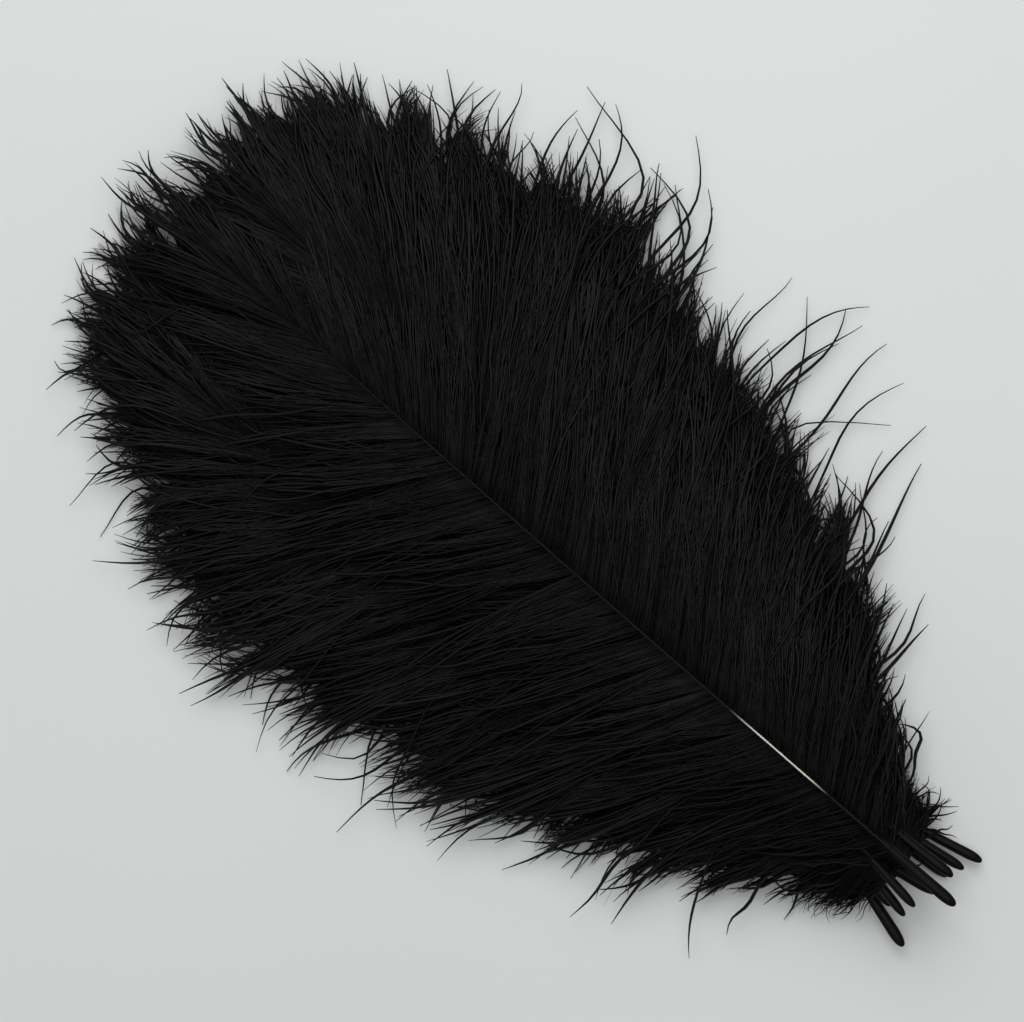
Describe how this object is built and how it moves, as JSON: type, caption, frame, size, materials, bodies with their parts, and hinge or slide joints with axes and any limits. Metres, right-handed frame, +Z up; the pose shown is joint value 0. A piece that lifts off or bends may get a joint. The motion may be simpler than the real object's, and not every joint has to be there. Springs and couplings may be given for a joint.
{
  "type": "ostrich plume bunch",
  "caption": "Fanned bunch of loose black ostrich plumes lying flat, each plume turning about the place where the shafts cross so that the bunch opens or gathers.",
  "frame": {"origin": "on the surface the bunch lies on, under the point where the shafts cross, about 80 mm from the top plume's quill end", "axes": "+X from quill to tip along the top plume, +Z up out of the surface, +Y to the left of the top plume seen from its quill"},
  "size_m": [0.3601, 0.2179, 0.0276],
  "materials": {
    "quill": "satin dyed keratin, near-black",
    "barbs": "dyed barbs, near-black with a faint silky streak",
    "down": "matte dyed down, near-black"
  },
  "bodies": {
    "plume_01": {"plume_01_shaft": "quill", "plume_01_left_vane": "barbs", "plume_01_right_vane": "barbs", "plume_01_left_down": "down", "plume_01_right_down": "down"},
    "plume_02": {"plume_02_shaft": "quill", "plume_02_left_vane": "barbs", "plume_02_right_vane": "barbs", "plume_02_left_down": "down", "plume_02_right_down": "down"},
    "plume_03": {"plume_03_shaft": "quill", "plume_03_left_vane": "barbs", "plume_03_right_vane": "barbs", "plume_03_left_down": "down", "plume_03_right_down": "down"},
    "plume_04": {"plume_04_shaft": "quill", "plume_04_left_vane": "barbs", "plume_04_right_vane": "barbs", "plume_04_left_down": "down", "plume_04_right_down": "down"},
    "plume_05": {"plume_05_shaft": "quill", "plume_05_left_vane": "barbs", "plume_05_right_vane": "barbs", "plume_05_left_down": "down", "plume_05_right_down": "down"},
    "plume_06": {"plume_06_shaft": "quill", "plume_06_left_vane": "barbs", "plume_06_right_vane": "barbs", "plume_06_left_down": "down", "plume_06_right_down": "down"},
    "plume_07": {"plume_07_shaft": "quill", "plume_07_left_vane": "barbs", "plume_07_right_vane": "barbs", "plume_07_left_down": "down", "plume_07_right_down": "down"},
    "plume_08": {"plume_08_shaft": "quill", "plume_08_left_vane": "barbs", "plume_08_right_vane": "barbs", "plume_08_left_down": "down", "plume_08_right_down": "down"},
    "plume_09": {"plume_09_shaft": "quill", "plume_09_left_vane": "barbs", "plume_09_right_vane": "barbs", "plume_09_left_down": "down", "plume_09_right_down": "down"},
    "plume_10": {"plume_10_shaft": "quill", "plume_10_left_vane": "barbs", "plume_10_right_vane": "barbs", "plume_10_left_down": "down", "plume_10_right_down": "down"}
  },
  "joints": [
    {"name": "plume_02_swivel", "type": "hinge", "parent": "plume_01", "child": "plume_02", "pos_m": [0, 0, 0.0028], "axis": [0, 0, 1], "range_deg": [-6, 21]},
    {"name": "plume_03_swivel", "type": "hinge", "parent": "plume_01", "child": "plume_03", "pos_m": [0, 0, 0.0056], "axis": [0, 0, -1], "range_deg": [-17, 28]},
    {"name": "plume_04_swivel", "type": "hinge", "parent": "plume_01", "child": "plume_04", "pos_m": [0, 0, 0.0084], "axis": [0, 0, 1], "range_deg": [-3, 6]},
    {"name": "plume_05_swivel", "type": "hinge", "parent": "plume_01", "child": "plume_05", "pos_m": [0, 0, 0.0112], "axis": [0, 0, -1], "range_deg": [-15, 21]},
    {"name": "plume_06_swivel", "type": "hinge", "parent": "plume_01", "child": "plume_06", "pos_m": [0, 0, 0.014], "axis": [0, 0, 1], "range_deg": [-4, 14]},
    {"name": "plume_07_swivel", "type": "hinge", "parent": "plume_01", "child": "plume_07", "pos_m": [0, 0, 0.0168], "axis": [0, 0, -1], "range_deg": [-13, 15]},
    {"name": "plume_08_swivel", "type": "hinge", "parent": "plume_01", "child": "plume_08", "pos_m": [0, 0, 0.0196], "axis": [0, 0, -1], "range_deg": [-6, 9]},
    {"name": "plume_09_swivel", "type": "hinge", "parent": "plume_01", "child": "plume_09", "pos_m": [0, 0, 0.0224], "axis": [0, 0, -1], "range_deg": [-10, 4]},
    {"name": "plume_10_swivel", "type": "hinge", "parent": "plume_01", "child": "plume_10", "pos_m": [0, 0, 0.0252], "axis": [0, 0, -1], "range_deg": [-3, 3]}
  ]
}
